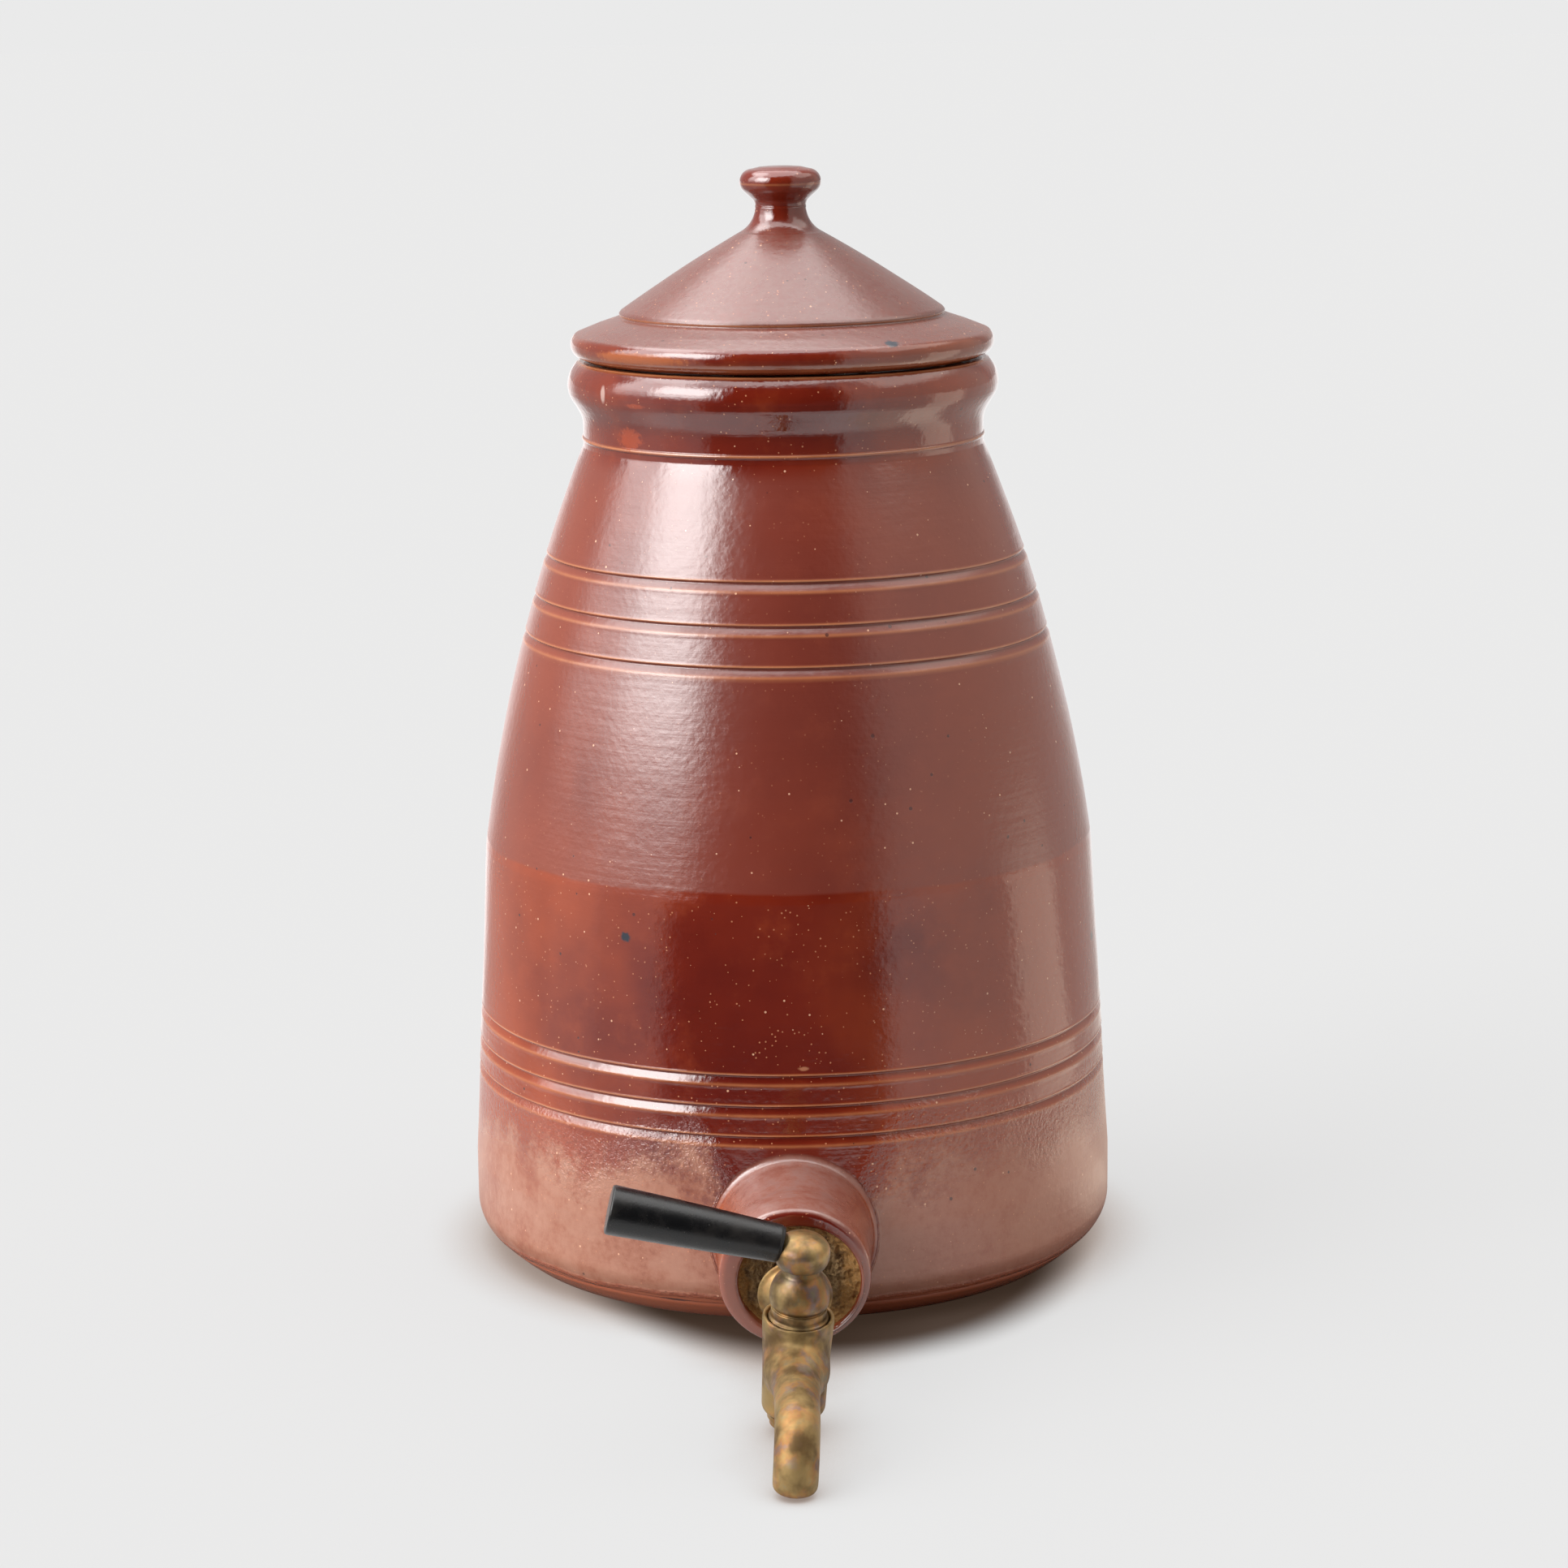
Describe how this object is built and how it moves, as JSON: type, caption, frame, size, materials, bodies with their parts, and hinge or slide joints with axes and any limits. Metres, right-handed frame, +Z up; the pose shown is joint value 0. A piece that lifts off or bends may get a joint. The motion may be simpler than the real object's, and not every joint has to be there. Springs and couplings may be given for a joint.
{
  "type": "stoneware water crock with tap",
  "caption": "Glazed stoneware water crock with throwing lines, a loose conical lid with a knob, and a brass ground-key tap with a black side handle sealed into its boss.",
  "frame": {"origin": "centre of the foot, on the table", "axes": "+Z up along the crock's axis; the tap points to -Y, the front; +X is to the right as seen from the front"},
  "size_m": [0.202, 0.3361, 0.3384],
  "materials": {
    "glaze": "gloss",
    "lid_glaze": "gloss",
    "cork": "matte",
    "putty": "matte",
    "cast_brass": "satin",
    "turned_brass": "satin",
    "pin_steel": "satin",
    "ebonite": "satin"
  },
  "bodies": {
    "pot": {"crock": "glaze", "cork_bung": "cork", "sealing_putty": "putty", "tap_body": "cast_brass"},
    "lid": {"lid": "lid_glaze"},
    "key": {"tap_key": "turned_brass", "key_washer": "turned_brass", "key_screw": "turned_brass", "handle_pin": "pin_steel", "handle_grip": "ebonite"}
  },
  "joints": [
    {"name": "lid_lift", "type": "slide", "parent": "pot", "child": "lid", "axis": [0, 0, 1], "range_m": [0, 0.1]},
    {"name": "tap_turn", "type": "hinge", "parent": "pot", "child": "key", "pos_m": [0, -0.18294, 0.02188], "axis": [0.061, -0.1561, 0.9858], "continuous": true}
  ]
}
